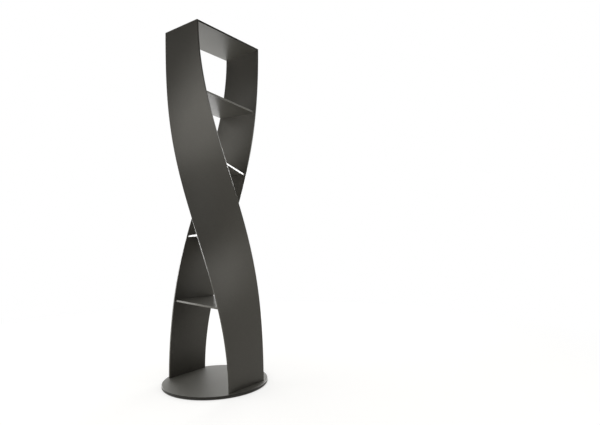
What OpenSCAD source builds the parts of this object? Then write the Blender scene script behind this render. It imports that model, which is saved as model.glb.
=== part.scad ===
// Free-standing bookcase whose two side panels and shelves turn a quarter round between foot and top.
// It stands on its own frame: floor at z = 0, +Z up, and -Y where the top compartment opens.

/* [Case] */
// Height from the floor to the top
overall_h = 1900; // [1650:1:2200]
// Width across the outer faces of the side panels
case_w = 470; // [360:1:600]
// Depth of the case, which is how wide each side panel is
case_d = 256; // [200:1:340]
// Thickness of the side panels
side_t = 10; // [8:0.5:18]
// Turn of the case between its foot and its top, in degrees
case_turn = 90; // [0:1:120]

/* [Shelves] */
// Number of shelves between the base and the top panel
shelf_count = 4; // [1:1:4]
// Clear height of each compartment above the lowest one, which takes the rest
bay_h = 356; // [240:1:380]
// Thickness of the shelves
shelf_t = 10; // [8:0.5:18]
// Distance of a shelf's long edges behind the edges of the side panels
shelf_setback = 8; // [0:0.5:20]
// Thickness of the top panel
top_t = 10; // [8:0.5:18]

/* [Base] */
// How far the round base reaches past the corners of the case
base_margin = 14.5; // [5:0.5:60]
// Thickness of the base
base_t = 12; // [8:0.5:25]
// Chamfer round the upper edge of the base
base_chamfer = 2; // [0.5:0.1:3]
// Chamfer round the lower edge of the base
base_under_chamfer = 1; // [0.5:0.1:3]

/* [Pins] */
// Diameter of the pins that hold the shelves and the top panel
pin_d = 5; // [3:0.5:6]
// Length of each pin inside the shelf's end
pin_grip = 25; // [12:1:40]
// Distance of each pin from the edges of the side panel
pin_inset = 40; // [15:1:80]
// Depth of each pin's outer end below the panel's outer face
pin_recess = 0.5; // [0.4:0.1:2]
// Chamfer on both ends of a pin
pin_chamfer = 0.5; // [0.1:0.1:1]

/* [Base screws] */
// Number of screws under each side panel
screw_count = 3; // [2:1:4]
// Distance of the outer screws from the edges of the side panel
screw_inset = 48; // [20:1:80]
// Diameter of the screw's thread
screw_d = 5; // [4:0.5:6]
// Length of the screw with its head
screw_l = 30; // [25:1:50]
// Diameter of the countersunk head
head_d = 10; // [9:0.5:12]
// Height of the countersunk head
head_h = 2.8; // [2:0.1:3.5]
// Width across the corners of the hexagon socket
socket_w = 3.5; // [2:0.1:4]
// Depth of the hexagon socket
socket_h = 2; // [1:0.1:2.5]
// Depth of the head below the underside of the base
head_sink = 0.3; // [0.1:0.1:1]

/* [Glides] */
// Number of glides under the base
glide_count = 6; // [3:1:8]
// Diameter of a glide
glide_d = 30; // [16:1:50]
// Thickness of a glide
glide_t = 3; // [2:0.5:8]
// Distance from the rim of the base to the middle of a glide
glide_inset = 35; // [28:1:90]
// Chamfer round the lower edge of a glide
glide_chamfer = 0.5; // [0.2:0.1:1]

/* [Hidden] */
// Radial room round a pin in its bore
pin_clearance = 0.05;
// Radial room round a screw where it passes through the base
screw_clearance = 0.25;
// Radial room round a screw in its tapped hole
thread_clearance = 0.05;
// Room past the tip of a pin or a screw
tip_room = 2;
// How far a cut runs past the face that it opens
overrun = 5;
// Facets across the width of a side panel, along a shelf, and up one compartment
side_facets = 8;
shelf_facets = 14;
bay_facets = 20;
$fn = 64;

foot_z = glide_t + base_t;
case_h = overall_h - foot_z;
base_r = norm([case_w, case_d]) / 2 + base_margin;
inner_w = case_w - 2 * side_t;
pin_v = case_d / 2 - pin_inset;
pin_l = side_t - pin_recess + pin_grip;
screw_u = (case_w - side_t) / 2;
screw_z = glide_t + head_sink;
screw_spacing = (case_d - 2 * screw_inset) / (screw_count - 1);

// Upper face of the shelf with this number, counted from the top
function shelf_top(i) = overall_h - top_t - i * bay_h - (i - 1) * shelf_t;

// Lower and upper face of every plate between the side panels, from the lowest up
plates = concat(
    [for (i = [shelf_count:-1:1]) [shelf_top(i) - shelf_t, shelf_top(i)]],
    [[overall_h - top_t, overall_h]]
);

// Heights at which a side panel has a ring of points, with every plate's faces among them
side_levels = concat(
    [foot_z],
    [for (i = [0:len(plates) - 1]) each concat(
        steps(i == 0 ? foot_z : plates[i - 1][1], plates[i][0], bay_facets),
        [plates[i][1]]
    )]
);

// Angle of the case's width from +X at a height: the whole turn at the foot, none at the top, eased at both
function turn_at(z) =
    let (s = (z - foot_z) / case_h)
    case_turn * (1 - s * s * (3 - 2 * s));

// Values that follow the first one, up to and with the last
function steps(from, to, n) = [for (k = [1:n]) from + (to - from) * k / n];

// Points along a straight side, without its far end
function side_points(from, to, n) = [for (k = [0:n - 1]) from + (to - from) * k / n];

// Outline of a rectangle centred on mid, counter-clockwise, with points along its sides
function outline(mid, size, facets) =
    let (lo = mid - size / 2, hi = mid + size / 2)
    concat(
        side_points(lo, [hi[0], lo[1]], facets[0]),
        side_points([hi[0], lo[1]], hi, facets[1]),
        side_points(hi, [lo[0], hi[1]], facets[0]),
        side_points([lo[0], hi[1]], lo, facets[1])
    );

// A point of the case's plan, turned to where it lies at this height
function turned(p, z) =
    let (a = turn_at(z))
    [p[0] * cos(a) - p[1] * sin(a), p[0] * sin(a) + p[1] * cos(a), z];

// A slice of the turning case: a rectangle of its plan, carried up through the levels.
// Every wall is split along the same diagonal, so that two slices meet face to face.
module turning_block(mid, size, facets, levels) {
    ring = outline(mid, size, facets);
    n = len(ring);
    last = len(levels) - 1;
    points = concat(
        [for (z = levels) each [for (p = ring) turned(p, z)]],
        [turned(mid, levels[0]), turned(mid, levels[last])]
    );
    low_mid = n * (last + 1);
    top_mid = low_mid + 1;
    walls = [for (k = [0:last - 1], i = [0:n - 1])
        let (
            j = (i + 1) % n,
            a = k * n + i,
            b = k * n + j,
            c = a + n,
            d = b + n,
            forward = ring[j][0] + ring[j][1] > ring[i][0] + ring[i][1]
        )
        each (forward ? [[a, d, b], [a, c, d]] : [[a, c, b], [b, c, d]])
    ];
    ends = [for (i = [0:n - 1])
        let (j = (i + 1) % n)
        each [[low_mid, i, j], [top_mid, last * n + j, last * n + i]]
    ];
    polyhedron(points = points, faces = concat(walls, ends));
}

// Puts a piece at a height, turned as the case is there
module at_height(z) {
    translate([0, 0, z]) rotate([0, 0, turn_at(z)]) children();
}

// Round piece along +Z with a chamfer on each end
module turned_rod(d, h, low_chamfer, top_chamfer) {
    rotate_extrude()
        polygon([
            [0, 0], [d / 2 - low_chamfer, 0], [d / 2, low_chamfer],
            [d / 2, h - top_chamfer], [d / 2 - top_chamfer, h], [0, h]
        ]);
}

// Puts a piece at the outer end of each pin of a plate, on these sides of the case, pointing inwards
module pin_places(z, sides) {
    at_height(z)
        for (side = sides, v = [-pin_v, pin_v])
            rotate([0, 0, side > 0 ? 180 : 0])
                translate([pin_recess - case_w / 2, v, 0])
                    rotate([0, 90, 0])
                        children();
}

// Bores for the pins of a plate, open at the side panel's outer face
module pin_bores(z, sides) {
    pin_places(z, sides)
        translate([0, 0, -pin_recess - overrun])
            cylinder(d = pin_d + 2 * pin_clearance, h = pin_recess + overrun + pin_l + tip_room);
}

// The pins of a plate, two in each end
module pins(plate) {
    color("silver")
        pin_places((plate[0] + plate[1]) / 2, [-1, 1])
            turned_rod(pin_d, pin_l, pin_chamfer, pin_chamfer);
}

// Places of the screws under one side panel, at the level of their heads
module screw_places(side) {
    rotate([0, 0, case_turn])
        for (k = [0:screw_count - 1])
            translate([side * screw_u, screw_inset - case_d / 2 + k * screw_spacing, screw_z])
                children();
}

// Countersunk screw, with its head down
module screw() {
    difference() {
        union() {
            cylinder(d1 = head_d, d2 = screw_d, h = head_h);
            cylinder(d = screw_d, h = screw_l);
        }
        translate([0, 0, -overrun])
            cylinder(d = socket_w, h = socket_h + overrun, $fn = 6);
    }
}

// Room for a screw in the base, opened downwards
module screw_hole() {
    translate([0, 0, -overrun]) {
        cylinder(d = head_d, h = overrun);
        cylinder(d = screw_d + 2 * screw_clearance, h = 2 * overrun + base_t);
    }
    cylinder(d1 = head_d, d2 = screw_d, h = head_h);
}

// Round base that the side panels are screwed to from below
module base_plate() {
    color("#45433e")
        difference() {
            translate([0, 0, glide_t])
                turned_rod(2 * base_r, base_t, base_under_chamfer, base_chamfer);
            for (side = [-1, 1])
                screw_places(side) screw_hole();
        }
}

// Side panel: a plate that winds round the case's middle at an even distance
module side_panel(side) {
    color("#4b4944")
        difference() {
            turning_block([side * screw_u, 0], [side_t, case_d], [1, side_facets], side_levels);
            for (plate = plates)
                pin_bores((plate[0] + plate[1]) / 2, [side]);
            screw_places(side)
                cylinder(d = screw_d + 2 * thread_clearance, h = screw_l + tip_room);
        }
}

// Top panel or the full plate of a shelf: a level plate between the side panels, its edges flush with theirs
module plate_between(plate) {
    color("#5a5751")
        difference() {
            turning_block([0, 0], [inner_w, case_d], [shelf_facets, side_facets], plate);
            pin_bores((plate[0] + plate[1]) / 2, [-1, 1]);
        }
}

// Shelf: the plate with both its long edges cut back behind the edges of the side panels
module shelf(plate) {
    cut = [plate[0] - overrun, plate[1] + overrun];
    color("#5a5751")
        intersection() {
            plate_between(plate);
            turning_block(
                [0, 0], [inner_w + 2 * overrun, case_d - 2 * shelf_setback], [shelf_facets, side_facets], cut
            );
        }
}

// Screws under one side panel
module base_screws(side) {
    color("dimgray")
        screw_places(side) screw();
}

// Glide stuck under the base, clear of the screws
module glide(k) {
    color("#1c1c1c")
        rotate([0, 0, case_turn + (k - 1 / 2) * 360 / glide_count])
            translate([base_r - glide_inset, 0, 0])
                turned_rod(glide_d, glide_t, glide_chamfer, 0);
}

base_plate();
side_panel(-1);  // left_side_panel
side_panel(1);  // right_side_panel
plate_between(plates[shelf_count]);  // top_panel
pins(plates[shelf_count]);  // top_panel_pins
base_screws(-1);  // left_base_screws
base_screws(1);  // right_base_screws
for (i = [1:shelf_count]) {
    shelf(plates[shelf_count - i]);
    pins(plates[shelf_count - i]);
}
for (k = [1:glide_count])
    glide(k);
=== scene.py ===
import math

import bmesh
import bpy
from mathutils import Matrix, Vector


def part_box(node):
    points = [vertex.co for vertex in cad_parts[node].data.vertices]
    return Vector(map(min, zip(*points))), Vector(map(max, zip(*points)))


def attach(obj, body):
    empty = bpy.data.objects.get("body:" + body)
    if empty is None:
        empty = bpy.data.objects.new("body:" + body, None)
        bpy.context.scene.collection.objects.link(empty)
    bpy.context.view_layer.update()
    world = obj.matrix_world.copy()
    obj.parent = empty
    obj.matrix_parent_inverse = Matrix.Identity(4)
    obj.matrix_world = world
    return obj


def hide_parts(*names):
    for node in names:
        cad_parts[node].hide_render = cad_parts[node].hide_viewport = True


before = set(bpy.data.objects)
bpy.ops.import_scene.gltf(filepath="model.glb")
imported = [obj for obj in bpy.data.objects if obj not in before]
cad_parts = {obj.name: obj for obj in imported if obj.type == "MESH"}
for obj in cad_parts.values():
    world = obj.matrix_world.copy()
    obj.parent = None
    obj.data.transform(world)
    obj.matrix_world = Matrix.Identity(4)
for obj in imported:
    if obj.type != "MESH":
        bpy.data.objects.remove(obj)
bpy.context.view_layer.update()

scene = bpy.context.scene
scene.view_settings.view_transform = "Standard"
print("frame loaded:", len(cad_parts), "nodes")

sharpAngle = math.radians(40)  # edges that turn by more than this stay crisp
uprightSlope = 0.9             # a face is upright if its normal rises by less than this
# places of a Mix node's sockets, because its colour and number sockets bear the same names
mixFactor, firstNumber, secondNumber, firstColour, secondColour = 0, 2, 3, 6, 7
numberOut, colourOut = 0, 2


def linear(hexColour):
    # an sRGB hex colour as the linear RGBA that the shaders take
    channels = [int(hexColour[i:i + 2], 16) / 255 for i in (1, 3, 5)]
    return [c / 12.92 if c <= 0.04045 else ((c + 0.055) / 1.055) ** 2.4 for c in channels] + [1]


def addNode(tree, kind, values=None, links=None, **settings):
    # one node: settings are its own properties, values fill its sockets, links join them to outputs
    node = tree.nodes.new(kind)
    for name, value in settings.items():
        setattr(node, name, value)
    for socket, value in (values or {}).items():
        node.inputs[socket].default_value = value
    for socket, output in (links or {}).items():
        tree.links.new(output, node.inputs[socket])
    return node


def newMaterial(name, values):
    # a Principled material with these values on the shader's own sockets
    material = bpy.data.materials.new(name)
    material.use_nodes = True
    shader = material.node_tree.nodes["Principled BSDF"]
    for socket, value in values.items():
        shader.inputs[socket].default_value = value
    return material, material.node_tree, shader


def newPiece(name, mesh, material, node):
    # a piece that stands for a CAD node and takes the finish it is given
    mesh.materials.append(material)
    mesh.shade_smooth()
    mesh.set_sharp_from_angle(angle=sharpAngle)
    piece = bpy.data.objects.new(name, mesh)
    scene.collection.objects.link(piece)
    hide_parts(node)
    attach(piece, "root")
    return piece


def paintShadeOnUprightFaces(piece, material):
    # its upright faces take a second lacquer, here the darker copy that paints shade on them; the level
    # ones keep the first
    piece.data.materials.append(material)
    for face in piece.data.polygons:
        if abs(face.normal.z) < uprightSlope:
            face.material_index = 1


# Metal-flake graphite lacquer, sprayed on metal plate under a clear satin coat: near black where it mirrors
# nothing, a soft broad sheen where it mirrors a light, and pale at a grazing angle
panelFinish = dict(
    colour="#5c5a53", cloudColour="#605d56", fleckColour="#7d7a70", edgeColour="#6e6b62",
    cloudSize=0.140,   # the bands that the spray gun leaves
    cloudFrom=0.3, cloudTo=0.7,
    fleckSize=0.0015,  # metal flakes are about 0.1 mm; drawn coarser so that they show close up
    fleckShare=0.12, fleckStrength=0.5,
    edgeStrength=0.5,
    peelSize=0.0025,   # orange peel, 2 to 3 mm from crest to crest
    peelHeight=0.000012, peelStrength=0.6,
    metallic=1.0,
    roughness=0.50, roughnessSpread=0.03,
    coatRoughness=0.35,
    scuffs=0.0,        # how much duller a scuff is
    scuffLength=0.05, scuffNarrowness=7, scuffHeading=0.7,
    scuffFrom=0.58, scuffTo=0.75,  # scuffs are where their pattern rises past these
)
# The top panel takes a lighter, less metallic copy of the lacquer: a painted sheen that makes its level
# faces lighter than the upright side panels
topFinish = {**panelFinish, **dict(
    colour="#605e56", cloudColour="#64625a", fleckColour="#827f74", edgeColour="#726f65",
    metallic=0.6, coatRoughness=0.38,
)}
# The shelves take a lighter, less metallic copy of the lacquer: a painted sheen that makes their level
# faces lighter than the upright side panels; their coat has a sharper gloss
shelfFinish = {**panelFinish, **dict(
    colour="#68665e", cloudColour="#6c6a62", fleckColour="#8a877c", edgeColour="#7a776d",
    metallic=0.5, roughness=0.48, coatRoughness=0.25,
)}
# The base takes a lighter copy of the lacquer too, a painted sheen on its level faces, and shoes and brooms
# have dulled it
baseFinish = {**panelFinish, **dict(
    colour="#68665e", cloudColour="#6c6a62", fleckColour="#8a877c", edgeColour="#7a776d",
    metallic=0.6, roughness=0.65, coatRoughness=0.52, scuffs=0.08,
)}
# The base's rim and the top panel's edges stand upright and take a darker copy of the lacquer, a painted
# shade on them
shadedRimFinish = {**panelFinish, **dict(
    colour="#3f3d38", cloudColour="#43413c", fleckColour="#5e5b53", edgeColour="#4c4a44",
)}


def sprayedLacquer(name, look):
    material, tree, shader = newMaterial(name, {
        "Metallic": look["metallic"],
        "Coat Weight": 1.0,
        "Coat IOR": 1.5,
        "Coat Roughness": look["coatRoughness"],
    })
    place = addNode(tree, "ShaderNodeTexCoord")
    cloud = addNode(
        tree, "ShaderNodeTexNoise",
        {"Scale": 1 / look["cloudSize"], "Detail": 2.0, "Roughness": 0.4},
        {"Vector": place.outputs["Object"]},
    )
    tone = addNode(
        tree, "ShaderNodeMix",
        {firstColour: linear(look["colour"]), secondColour: linear(look["cloudColour"])},
        {mixFactor: cloud.outputs[0]},
        data_type="RGBA",
    )
    flecks = addNode(
        tree, "ShaderNodeTexVoronoi",
        {"Scale": 1 / look["fleckSize"]},
        {"Vector": place.outputs["Object"]},
    )
    fleckValue = addNode(tree, "ShaderNodeSeparateColor", links={0: flecks.outputs["Color"]})
    fleckMask = addNode(
        tree, "ShaderNodeMapRange",
        {"From Min": 1 - look["fleckShare"], "To Max": look["fleckStrength"]},
        {"Value": fleckValue.outputs[0]},
    )
    flecked = addNode(
        tree, "ShaderNodeMix",
        {secondColour: linear(look["fleckColour"])},
        {mixFactor: fleckMask.outputs[0], firstColour: tone.outputs[colourOut]},
        data_type="RGBA",
    )
    # lacquer draws back from an edge as it flows, so the edge is a shade lighter
    edge = addNode(tree, "ShaderNodeAttribute", attribute_name="edge")
    edgeShare = addNode(
        tree, "ShaderNodeMath", {1: look["edgeStrength"]}, {0: edge.outputs["Fac"]}, operation="MULTIPLY",
    )
    edged = addNode(
        tree, "ShaderNodeMix",
        {secondColour: linear(look["edgeColour"])},
        {mixFactor: edgeShare.outputs[0], firstColour: flecked.outputs[colourOut]},
        data_type="RGBA",
    )
    tree.links.new(edged.outputs[colourOut], shader.inputs["Base Color"])
    sheen = addNode(
        tree, "ShaderNodeMapRange",
        {
            "From Min": look["cloudFrom"], "From Max": look["cloudTo"],
            "To Min": look["roughness"] - look["roughnessSpread"],
            "To Max": look["roughness"] + look["roughnessSpread"],
        },
        {"Value": cloud.outputs[0]},
    )
    roughness = sheen.outputs[0]
    if look["scuffs"]:
        # shoes and a broom leave short dull strokes on the base, a few centimetres long
        stretched = addNode(
            tree, "ShaderNodeMapping",
            {"Rotation": (0, 0, look["scuffHeading"]), "Scale": (1, look["scuffNarrowness"], 1)},
            {"Vector": place.outputs["Object"]},
        )
        strokes = addNode(
            tree, "ShaderNodeTexNoise",
            {"Scale": 1 / look["scuffLength"], "Detail": 4.0, "Roughness": 0.6},
            {"Vector": stretched.outputs[0]},
        )
        strokeMask = addNode(
            tree, "ShaderNodeMapRange",
            {"From Min": look["scuffFrom"], "From Max": look["scuffTo"], "To Max": look["scuffs"]},
            {"Value": strokes.outputs[0]},
        )
        scuffed = addNode(
            tree, "ShaderNodeMath", links={0: roughness, 1: strokeMask.outputs[0]}, operation="ADD",
        )
        roughness = scuffed.outputs[0]
    tree.links.new(roughness, shader.inputs["Roughness"])
    peel = addNode(
        tree, "ShaderNodeTexNoise",
        {"Scale": 1 / look["peelSize"], "Detail": 1.5, "Roughness": 0.45},
        {"Vector": place.outputs["Object"]},
    )
    bump = addNode(
        tree, "ShaderNodeBump",
        {"Strength": look["peelStrength"], "Distance": look["peelHeight"]},
        {"Height": peel.outputs[0]},
    )
    tree.links.new(bump.outputs[0], shader.inputs["Normal"])
    tree.links.new(bump.outputs[0], shader.inputs["Coat Normal"])
    return material


panelLacquer = sprayedLacquer("satinGraphiteLacquerSprayed", panelFinish)
# lighter copies of the lacquer for the level plates and the base: painted sheen
topLacquer = sprayedLacquer("satinGraphiteLacquerPaintedSheenOnTop", topFinish)
shelfLacquer = sprayedLacquer("satinGraphiteLacquerPaintedSheenOnShelves", shelfFinish)
baseLacquer = sprayedLacquer("satinGraphiteLacquerPaintedSheenOnBase", baseFinish)
# a darker copy of the lacquer for upright rims and edges: painted shade
shadedRimLacquer = sprayedLacquer("satinGraphiteLacquerPaintedShadeOnRim", shadedRimFinish)

# Ground steel: bright, with fine marks from the grinding wheel
pinFinish = dict(
    darkColour="#a9a7a2", paleColour="#c6c4bf", roughness=0.28,
    markSpacing=0.0008,  # grinding marks, drawn 0.8 mm apart so that they show
    markHeight=0.00002, markStrength=0.3,
)
pinSteel, pinTree, pinShader = newMaterial(
    "groundSteel", {"Metallic": 1.0, "Roughness": pinFinish["roughness"]},
)
pinPlace = addNode(pinTree, "ShaderNodeTexCoord")
pinMarks = addNode(
    pinTree, "ShaderNodeTexNoise",
    {"Scale": 1 / pinFinish["markSpacing"], "Detail": 3.0},
    {"Vector": pinPlace.outputs["Object"]},
)
pinTone = addNode(
    pinTree, "ShaderNodeMix",
    {firstColour: linear(pinFinish["darkColour"]), secondColour: linear(pinFinish["paleColour"])},
    {mixFactor: pinMarks.outputs[0]},
    data_type="RGBA",
)
pinBump = addNode(
    pinTree, "ShaderNodeBump",
    {"Strength": pinFinish["markStrength"], "Distance": pinFinish["markHeight"]},
    {"Height": pinMarks.outputs[0]},
)
pinTree.links.new(pinTone.outputs[colourOut], pinShader.inputs["Base Color"])
pinTree.links.new(pinBump.outputs[0], pinShader.inputs["Normal"])

# Blackened steel: dark and half dull, rubbed bright in places by the driver
screwFinish = dict(
    darkColour="#262422", rubbedColour="#57534d",
    patchSize=0.003,  # rubbed places are a few millimetres across
    patchFrom=0.3, patchTo=0.7,
    dullRoughness=0.52, rubbedRoughness=0.36,
)
screwSteel, screwTree, screwShader = newMaterial("blackenedSteel", {"Metallic": 1.0})
screwPlace = addNode(screwTree, "ShaderNodeTexCoord")
screwPatches = addNode(
    screwTree, "ShaderNodeTexNoise",
    {"Scale": 1 / screwFinish["patchSize"], "Detail": 4.0, "Roughness": 0.6},
    {"Vector": screwPlace.outputs["Object"]},
)
screwTone = addNode(
    screwTree, "ShaderNodeMix",
    {firstColour: linear(screwFinish["darkColour"]), secondColour: linear(screwFinish["rubbedColour"])},
    {mixFactor: screwPatches.outputs[0]},
    data_type="RGBA",
)
screwDullness = addNode(
    screwTree, "ShaderNodeMapRange",
    {
        "From Min": screwFinish["patchFrom"], "From Max": screwFinish["patchTo"],
        "To Min": screwFinish["dullRoughness"], "To Max": screwFinish["rubbedRoughness"],
    },
    {"Value": screwPatches.outputs[0]},
)
screwTree.links.new(screwTone.outputs[colourOut], screwShader.inputs["Base Color"])
screwTree.links.new(screwDullness.outputs[0], screwShader.inputs["Roughness"])

# Moulded rubber: dull black with a fine sandy skin from the mould and a little dust
glideFinish = dict(
    colour="#181817", dustColour="#2b2a28", ior=1.52,
    sandSize=0.0007,  # the mould's skin, drawn 0.7 mm apart so that it shows
    sandHeight=0.00006, sandStrength=0.5,
    dustSize=0.012,
    cleanRoughness=0.62, dustyRoughness=0.85,
)
glideRubber, rubberTree, rubberShader = newMaterial("mouldedRubber", {"IOR": glideFinish["ior"]})
rubberPlace = addNode(rubberTree, "ShaderNodeTexCoord")
rubberSand = addNode(
    rubberTree, "ShaderNodeTexNoise",
    {"Scale": 1 / glideFinish["sandSize"], "Detail": 2.0},
    {"Vector": rubberPlace.outputs["Object"]},
)
rubberDust = addNode(
    rubberTree, "ShaderNodeTexNoise",
    {"Scale": 1 / glideFinish["dustSize"], "Detail": 5.0, "Roughness": 0.6},
    {"Vector": rubberPlace.outputs["Object"]},
)
rubberTone = addNode(
    rubberTree, "ShaderNodeMix",
    {firstColour: linear(glideFinish["colour"]), secondColour: linear(glideFinish["dustColour"])},
    {mixFactor: rubberDust.outputs[0]},
    data_type="RGBA",
)
rubberDullness = addNode(
    rubberTree, "ShaderNodeMapRange",
    {"To Min": glideFinish["cleanRoughness"], "To Max": glideFinish["dustyRoughness"]},
    {"Value": rubberDust.outputs[0]},
)
rubberBump = addNode(
    rubberTree, "ShaderNodeBump",
    {"Strength": glideFinish["sandStrength"], "Distance": glideFinish["sandHeight"]},
    {"Height": rubberSand.outputs[0]},
)
rubberTree.links.new(rubberTone.outputs[colourOut], rubberShader.inputs["Base Color"])
rubberTree.links.new(rubberDullness.outputs[0], rubberShader.inputs["Roughness"])
rubberTree.links.new(rubberBump.outputs[0], rubberShader.inputs["Normal"])

fixings = {"_pins": pinSteel, "_base_screws": screwSteel, "glide_": glideRubber}
for name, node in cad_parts.items():
    for kind, material in fixings.items():
        if kind in name:
            node.data.materials.clear()
            node.data.materials.append(material)
print("materials made")


# A plan of 470 x 256 mm that turns a quarter round between the base and the top, eased at both ends
case = dict(
    # in metres, with the turn in degrees
    width=0.470, depth=0.256, sideThickness=0.010, turn=90,
    edgeRadius=0.0008,  # edges are broken by hand before the lacquer
    endRadius=0.0005,
    edgeFacets=4,
    besideEdge=0.0010,  # a line of points beside each rounded edge keeps the faces flat up to it
    acrossFacets=16,
    levelStep=0.010,
    shelfFacets=30,
    shelfSetback=0.008,  # a shelf's long edges lie this far behind the edges of the side panels
    seat=0.0001,         # a shelf's ends reach this far into the side panels
    weldDistance=1e-7,   # points closer than this are one point
)
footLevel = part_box("base_plate")[1].z
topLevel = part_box("top_panel")[1].z


def turnedPoint(u, v, z):
    # a point of the case's plan, turned to where it lies at this height
    rise = (z - footLevel) / (topLevel - footLevel)
    angle = math.radians(case["turn"]) * (1 - rise * rise * (3 - 2 * rise))
    return Vector((
        u * math.cos(angle) - v * math.sin(angle),
        u * math.sin(angle) + v * math.cos(angle),
        z,
    ))


def plateSection(halfLength, halfThickness, inset=0.0):
    # rounded outline of a plate's section as (along, through, on the edge or not), the same on both faces
    radius = max(case["edgeRadius"] - inset, 0)
    a, b = halfLength - inset, halfThickness - inset
    beside = max(case["edgeRadius"], inset) + case["besideEdge"]
    facets = case["edgeFacets"]
    arc = [math.pi / 2 * i / facets for i in range(facets + 1)]
    half = [(a, halfThickness - beside, 0)]
    half += [(a - radius + radius * math.cos(t), b - radius + radius * math.sin(t), 1) for t in arc]
    reach = halfLength - beside
    count = case["acrossFacets"]
    half += [(reach - 2 * reach * i / count, b, 0) for i in range(count + 1)]
    half += [(radius - a - radius * math.sin(t), b - radius + radius * math.cos(t), 1) for t in arc]
    half += [(-a, halfThickness - beside, 0)]
    return half + [(along, -through, edge) for along, through, edge in reversed(half)]


def meshFromRings(name, rings):
    # each ring is a list of (point, edge); bands of quads join them and a strip of quads closes both ends
    made = bmesh.new()
    edgeLayer = made.verts.layers.float.new("edge")
    rows = []
    for ring in rings:
        row = []
        for point, edge in ring:
            vertex = made.verts.new(point)
            vertex[edgeLayer] = edge
            row.append(vertex)
        rows.append(row)
    count = len(rows[0])
    for low, high in zip(rows, rows[1:]):
        for i in range(count):
            j = (i + 1) % count
            made.faces.new((low[i], low[j], high[j], high[i]))
    for row in (rows[0], rows[-1]):
        for i in range(count // 2 - 1):
            made.faces.new((row[i], row[i + 1], row[count - 2 - i], row[count - 1 - i]))
    bmesh.ops.remove_doubles(made, verts=made.verts, dist=case["weldDistance"])
    bmesh.ops.recalc_face_normals(made, faces=made.faces)
    mesh = bpy.data.meshes.new(name)
    made.to_mesh(mesh)
    made.free()
    return mesh


def sidePanelMesh(name, side):
    # the section's length is the case's depth; rings go up from the foot, with a rounded end at both ends
    halfThickness = case["sideThickness"] / 2
    middle = side * (case["width"] / 2 - halfThickness)
    radius, facets = case["endRadius"], case["edgeFacets"]
    margin = radius + case["besideEdge"]
    end = [(0.0, margin, 0)]
    for i in range(facets + 1):
        t = math.pi / 2 * (1 - i / facets)
        end.append((radius * (1 - math.sin(t)), radius * (1 - math.cos(t)), 1))
    steps = round((topLevel - footLevel - 2 * margin) / case["levelStep"])
    climb = [footLevel + margin + (topLevel - footLevel - 2 * margin) * i / steps for i in range(steps + 1)]
    levels = [(footLevel + rise, inset, edge) for rise, inset, edge in end]
    levels += [(z, 0.0, 0) for z in climb]
    levels += [(topLevel - rise, inset, edge) for rise, inset, edge in reversed(end)]
    rings = []
    for z, inset, atEnd in levels:
        section = plateSection(case["depth"] / 2, halfThickness, inset)
        rings.append([(turnedPoint(middle + b, a, z), max(edge, atEnd)) for a, b, edge in section])
    return meshFromRings(name, rings)


def levelPlateMesh(name, low, high, setback):
    # a shelf or the top panel: its section is swept from one side panel to the other
    reach = case["width"] / 2 - case["sideThickness"] + case["seat"]
    middle = (low + high) / 2
    section = plateSection(case["depth"] / 2 - setback, (high - low) / 2)
    rings = []
    for i in range(case["shelfFacets"] + 1):
        u = reach * (2 * i / case["shelfFacets"] - 1)
        rings.append([(turnedPoint(u, a, middle + b), edge) for a, b, edge in section])
    return meshFromRings(name, rings)


sidePanels = [("leftSidePanel", "left_side_panel", -1), ("rightSidePanel", "right_side_panel", 1)]
for name, node, side in sidePanels:
    newPiece(name, sidePanelMesh(name, side), panelLacquer, node)
# the top panel and the shelves take the lighter copies of the lacquer, painted sheen
levelPlates = [("topPanel", "top_panel", 0.0, topLacquer)]
levelPlates += [(f"shelf{i}", f"shelf_{i}", case["shelfSetback"], shelfLacquer) for i in (1, 2, 3, 4)]
for name, node, setback, finish in levelPlates:
    lowCorner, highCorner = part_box(node)
    mesh = levelPlateMesh(name, lowCorner.z, highCorner.z, setback)
    plate = newPiece(name, mesh, finish, node)
    # the top panel's upright edges take the darker copy of the lacquer, painted shade
    if finish is topLacquer:
        paintShadeOnUprightFaces(plate, shadedRimLacquer)
print("case made")


# Round base, turned from plate, with a chamfer round both edges
base = dict(
    rimFacets=192,
    topChamfer=0.002, underChamfer=0.001,
    chamferRadius=0.0004,  # the chamfer's corners are softened by the lacquer
    chamferFacets=3,
    screwDistance=0.230,   # from the middle of the base, under the side panels
    screwSpacing=0.080,
    screwHead=0.010, screwHeadHeight=0.0028, screwSink=0.0003, screwPassage=0.0055,
    holeFacets=32,
    cutterReach=0.004,     # the holes' cutter sticks out of the base by this much, above and below
)


def softenedPath(corners, radius, facets):
    # the corners of an open path as short arcs, with a point beside each arc
    path = [corners[0] + (0,)]
    for before, corner, after in zip(corners, corners[1:], corners[2:]):
        before, corner, after = Vector(before), Vector(corner), Vector(after)
        into, out = (corner - before).normalized(), (after - corner).normalized()
        turn = into.angle(out)
        cut = radius * math.tan(turn / 2)
        start, stop = corner - into * cut, corner + out * cut
        side = 1 if into.x * out.y - into.y * out.x > 0 else -1
        centre = start + Vector((-into.y, into.x)) * radius * side
        path.append(tuple(start - into * radius) + (0,))
        for i in range(facets + 1):
            spoke = start - centre
            angle = side * turn * i / facets
            path.append((
                centre.x + spoke.x * math.cos(angle) - spoke.y * math.sin(angle),
                centre.y + spoke.x * math.sin(angle) + spoke.y * math.cos(angle),
                1,
            ))
        path.append(tuple(stop + out * radius) + (0,))
    path.append(corners[-1] + (0,))
    return path


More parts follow.
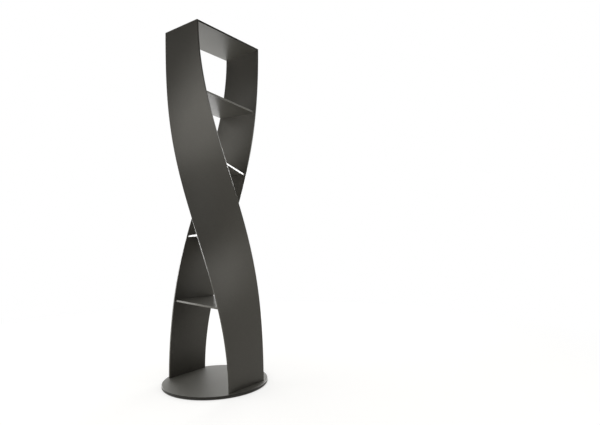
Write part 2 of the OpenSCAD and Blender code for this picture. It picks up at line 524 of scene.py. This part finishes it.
def lathe(name, path, facets):
    # turns a path of (radius, height, edge) round the z axis; both its ends lie on the axis
    made = bmesh.new()
    edgeLayer = made.verts.layers.float.new("edge")
    rows = []
    for r, z, edge in path[1:-1]:
        row = []
        for k in range(facets):
            angle = 2 * math.pi * k / facets
            vertex = made.verts.new((r * math.cos(angle), r * math.sin(angle), z))
            vertex[edgeLayer] = edge
            row.append(vertex)
        rows.append(row)
    for low, high in zip(rows, rows[1:]):
        for i in range(facets):
            j = (i + 1) % facets
            made.faces.new((low[i], low[j], high[j], high[i]))
    made.faces.new(reversed(rows[0]))
    made.faces.new(rows[-1])
    mesh = bpy.data.meshes.new(name)
    made.to_mesh(mesh)
    made.free()
    return mesh


baseLow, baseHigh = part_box("base_plate")
baseRadius = (baseHigh.x - baseLow.x) / 2
basePath = softenedPath(
    [
        (0.0, baseLow.z), (baseRadius - base["underChamfer"], baseLow.z),
        (baseRadius, baseLow.z + base["underChamfer"]), (baseRadius, baseHigh.z - base["topChamfer"]),
        (baseRadius - base["topChamfer"], baseHigh.z), (0.0, baseHigh.z),
    ],
    base["chamferRadius"], base["chamferFacets"],
)
# the base takes a lighter copy of the lacquer, painted sheen
basePiece = newPiece(
    "baseDisc", lathe("baseDisc", basePath, base["rimFacets"]), baseLacquer, "base_plate",
)

# countersunk holes for the screws that come up from below
holeMouth = baseLow.z + base["screwSink"]
cutterLow, cutterHigh = baseLow.z - base["cutterReach"], baseHigh.z + base["cutterReach"]
holePath = [
    (0.0, cutterLow, 0), (base["screwHead"] / 2, cutterLow, 0),
    (base["screwHead"] / 2, holeMouth, 0),
    (base["screwPassage"] / 2, holeMouth + base["screwHeadHeight"], 0),
    (base["screwPassage"] / 2, cutterHigh, 0), (0.0, cutterHigh, 0),
]
holeMesh = lathe("screwHole", holePath, base["holeFacets"])
holes = bmesh.new()
for side in (-1, 1):
    for k in (-1, 0, 1):
        one = holeMesh.copy()
        one.transform(Matrix.Translation((k * base["screwSpacing"], side * base["screwDistance"], 0)))
        holes.from_mesh(one)
        bpy.data.meshes.remove(one)
holesMesh = bpy.data.meshes.new("screwHoles")
holes.to_mesh(holesMesh)
holes.free()
cutter = bpy.data.objects.new("screwHoles", holesMesh)
scene.collection.objects.link(cutter)
cut = basePiece.modifiers.new("screwHoles", "BOOLEAN")
cut.object = cutter
cut.operation = "DIFFERENCE"
cut.solver = "EXACT"
cutMesh = bpy.data.meshes.new_from_object(basePiece.evaluated_get(bpy.context.evaluated_depsgraph_get()))
basePiece.modifiers.clear()
basePiece.data = cutMesh
basePiece.data.set_sharp_from_angle(angle=sharpAngle)
bpy.data.objects.remove(cutter)
# the base's rim takes the darker copy of the lacquer, painted shade
paintShadeOnUprightFaces(basePiece, shadedRimLacquer)
print("base made")


# Camera where the photograph was taken from: 0.77 m above the floor, looking 36 degrees round from +X
cameraPlace = dict(
    position=(-1.7378, -1.8509, 0.7706), heading=36.041, pitch=3.356, roll=-0.945, lens=26.945, farthest=60,
)


def aimCamera(place):
    heading, pitch, roll = (math.radians(place[name]) for name in ("heading", "pitch", "roll"))
    level = Vector((math.sin(heading), -math.cos(heading), 0))
    forward = Vector((
        math.cos(heading) * math.cos(pitch), math.sin(heading) * math.cos(pitch), math.sin(pitch),
    ))
    upright = level.cross(forward)
    right = level * math.cos(roll) + upright * math.sin(roll)
    up = upright * math.cos(roll) - level * math.sin(roll)
    camera = bpy.data.objects.new("camera", bpy.data.cameras.new("camera"))
    camera.data.lens = place["lens"]
    camera.data.clip_end = place["farthest"]
    turned = Matrix((right, up, -forward)).transposed().to_4x4()
    camera.matrix_world = Matrix.Translation(place["position"]) @ turned
    scene.collection.objects.link(camera)
    scene.camera = camera


aimCamera(cameraPlace)

# Softboxes stand round the bookcase; azimuth is measured from +X, counter-clockwise, and at level 1 a box's
# own face is as bright as white
softboxes = dict(
    leftSoftbox=dict(azimuth=168, distance=3.0, height=1.70, size=(2.5, 2.2), level=1.14, aimHeight=1.3),
    lowLeftSoftbox=dict(azimuth=125, distance=3.0, height=0.70, size=(2.6, 1.2), level=1.35, aimHeight=1.0),
    frontSoftbox=dict(azimuth=220, distance=3.0, height=1.70, size=(2.4, 1.2), level=0.48, aimHeight=1.0),
    rightSoftbox=dict(azimuth=270, distance=3.0, height=0.90, size=(1.6, 1.6), level=1.00, aimHeight=1.0),
    backSoftbox=dict(azimuth=15, distance=3.0, height=1.20, size=(1.2, 2.2), level=3.2, aimHeight=1.0),
    lowBackSoftbox=dict(azimuth=45, distance=3.0, height=0.70, size=(1.2, 1.2), level=0.2, aimHeight=1.0),
    sideBackSoftbox=dict(azimuth=79, distance=3.0, height=0.70, size=(1.3, 1.2), level=2.7, aimHeight=1.0),
)
for name, box in softboxes.items():
    light = bpy.data.lights.new(name, "AREA")
    light.shape = "RECTANGLE"
    light.size, light.size_y = box["size"]
    light.energy = box["level"] * math.pi * box["size"][0] * box["size"][1]
    lamp = bpy.data.objects.new(name, light)
    azimuth = math.radians(box["azimuth"])
    lamp.location = (
        box["distance"] * math.cos(azimuth),
        box["distance"] * math.sin(azimuth),
        box["height"],
    )
    aim = Vector((0, 0, box["aimHeight"])) - lamp.location
    lamp.rotation_euler = aim.to_track_quat("-Z", "Y").to_euler()
    lamp.visible_camera = False
    scene.collection.objects.link(lamp)

# White backdrop behind the bookcase, a dim room behind the camera, and a soft level for what they light
studio = dict(
    whiteLevel=1.0,  # renders as white
    backdropHeading=36.04, roomLevel=0.05, backdropFrom=0.30, backdropTo=0.60, softLevel=0.68,
    floorColour="#b9b8b5", floorGlow=0.60, floorRadius=12.0, floorFacets=64,
    glowFrom=0.276, glowTo=0.284,  # the glow starts at the base's edge, so the slit under it stays dark
    fadeFrom=1.6, fadeTo=3.2,      # the lit floor goes over into plain white here
    sweepFrom=1.2, sweepTo=2.6,    # where a mirror starts to see the glow, in metres behind the middle
)
world = bpy.data.worlds.new("studio")
scene.world = world
world.use_nodes = True
worldTree = world.node_tree
background = worldTree.nodes["Background"]
path = addNode(worldTree, "ShaderNodeLightPath")
direction = addNode(worldTree, "ShaderNodeTexCoord")
backdropHeading = math.radians(studio["backdropHeading"])
backdropWay = (math.cos(backdropHeading), math.sin(backdropHeading), 0)
towards = addNode(
    worldTree, "ShaderNodeVectorMath",
    {1: backdropWay},
    {0: direction.outputs["Generated"]},
    operation="DOT_PRODUCT",
)
mirrored = addNode(
    worldTree, "ShaderNodeMapRange",
    {
        "From Min": studio["backdropFrom"], "From Max": studio["backdropTo"],
        "To Min": studio["roomLevel"], "To Max": studio["whiteLevel"],
    },
    {"Value": towards.outputs["Value"]},
    interpolation_type="SMOOTHSTEP",
)
mirrorRays = addNode(
    worldTree, "ShaderNodeMath",
    links={0: path.outputs["Is Glossy Ray"], 1: path.outputs["Is Transmission Ray"]},
    operation="MAXIMUM",
)
lit = addNode(
    worldTree, "ShaderNodeMix",
    {firstNumber: studio["softLevel"]},
    {mixFactor: mirrorRays.outputs[0], secondNumber: mirrored.outputs[0]},
)
seen = addNode(
    worldTree, "ShaderNodeMix",
    {secondNumber: studio["whiteLevel"]},
    {mixFactor: path.outputs["Is Camera Ray"], firstNumber: lit.outputs[numberOut]},
)
worldTree.links.new(seen.outputs[numberOut], background.inputs["Strength"])
background.inputs["Color"].default_value = (1, 1, 1, 1)

# Pale matt floor; seen by the camera or in a mirror it glows of itself, so it is white and keeps the shadow
floorMesh = bpy.data.meshes.new("floor")
ring = bmesh.new()
bmesh.ops.create_circle(ring, cap_ends=True, segments=studio["floorFacets"], radius=studio["floorRadius"])
ring.to_mesh(floorMesh)
ring.free()
floor = bpy.data.objects.new("floor", floorMesh)
scene.collection.objects.link(floor)
floorMaterial = bpy.data.materials.new("paleStudioFloor")
floorMaterial.use_nodes = True
floorTree = floorMaterial.node_tree
floorTree.nodes.clear()
floorPath = addNode(floorTree, "ShaderNodeLightPath")
floorPlace = addNode(floorTree, "ShaderNodeTexCoord")
floorDistance = addNode(
    floorTree, "ShaderNodeVectorMath", links={0: floorPlace.outputs["Object"]}, operation="LENGTH",
)
floorFade = addNode(
    floorTree, "ShaderNodeMapRange",
    {"From Min": studio["fadeFrom"], "From Max": studio["fadeTo"]},
    {"Value": floorDistance.outputs["Value"]},
    interpolation_type="SMOOTHSTEP",
)
matt = addNode(floorTree, "ShaderNodeBsdfDiffuse", {"Color": linear(studio["floorColour"])})
openFloor = addNode(
    floorTree, "ShaderNodeMapRange",
    {"From Min": studio["glowFrom"], "From Max": studio["glowTo"], "To Max": studio["floorGlow"]},
    {"Value": floorDistance.outputs["Value"]},
)
glow = addNode(floorTree, "ShaderNodeEmission", links={"Strength": openFloor.outputs[0]})
glowing = addNode(floorTree, "ShaderNodeAddShader", links={0: matt.outputs[0], 1: glow.outputs[0]})
white = addNode(floorTree, "ShaderNodeEmission", {"Strength": studio["whiteLevel"]})
faded = addNode(
    floorTree, "ShaderNodeMixShader",
    links={0: floorFade.outputs[0], 1: glowing.outputs[0], 2: white.outputs[0]},
)
floorMirror = addNode(
    floorTree, "ShaderNodeMath",
    links={0: floorPath.outputs["Is Glossy Ray"], 1: floorPath.outputs["Is Transmission Ray"]},
    operation="MAXIMUM",
)
floorBehind = addNode(
    floorTree, "ShaderNodeVectorMath",
    {1: backdropWay},
    {0: floorPlace.outputs["Object"]},
    operation="DOT_PRODUCT",
)
floorSweep = addNode(
    floorTree, "ShaderNodeMapRange",
    {"From Min": studio["sweepFrom"], "From Max": studio["sweepTo"]},
    {"Value": floorBehind.outputs["Value"]},
    interpolation_type="SMOOTHSTEP",
)
floorMirrored = addNode(
    floorTree, "ShaderNodeMath",
    links={0: floorMirror.outputs[0], 1: floorSweep.outputs[0]},
    operation="MULTIPLY",
)
floorSeen = addNode(
    floorTree, "ShaderNodeMath",
    links={0: floorMirrored.outputs[0], 1: floorPath.outputs["Is Camera Ray"]},
    operation="MAXIMUM",
)
floorLook = addNode(
    floorTree, "ShaderNodeMixShader",
    links={0: floorSeen.outputs[0], 1: matt.outputs[0], 2: faded.outputs[0]},
)
addNode(floorTree, "ShaderNodeOutputMaterial", links={"Surface": floorLook.outputs[0]})
floorMesh.materials.append(floorMaterial)
print("studio made")
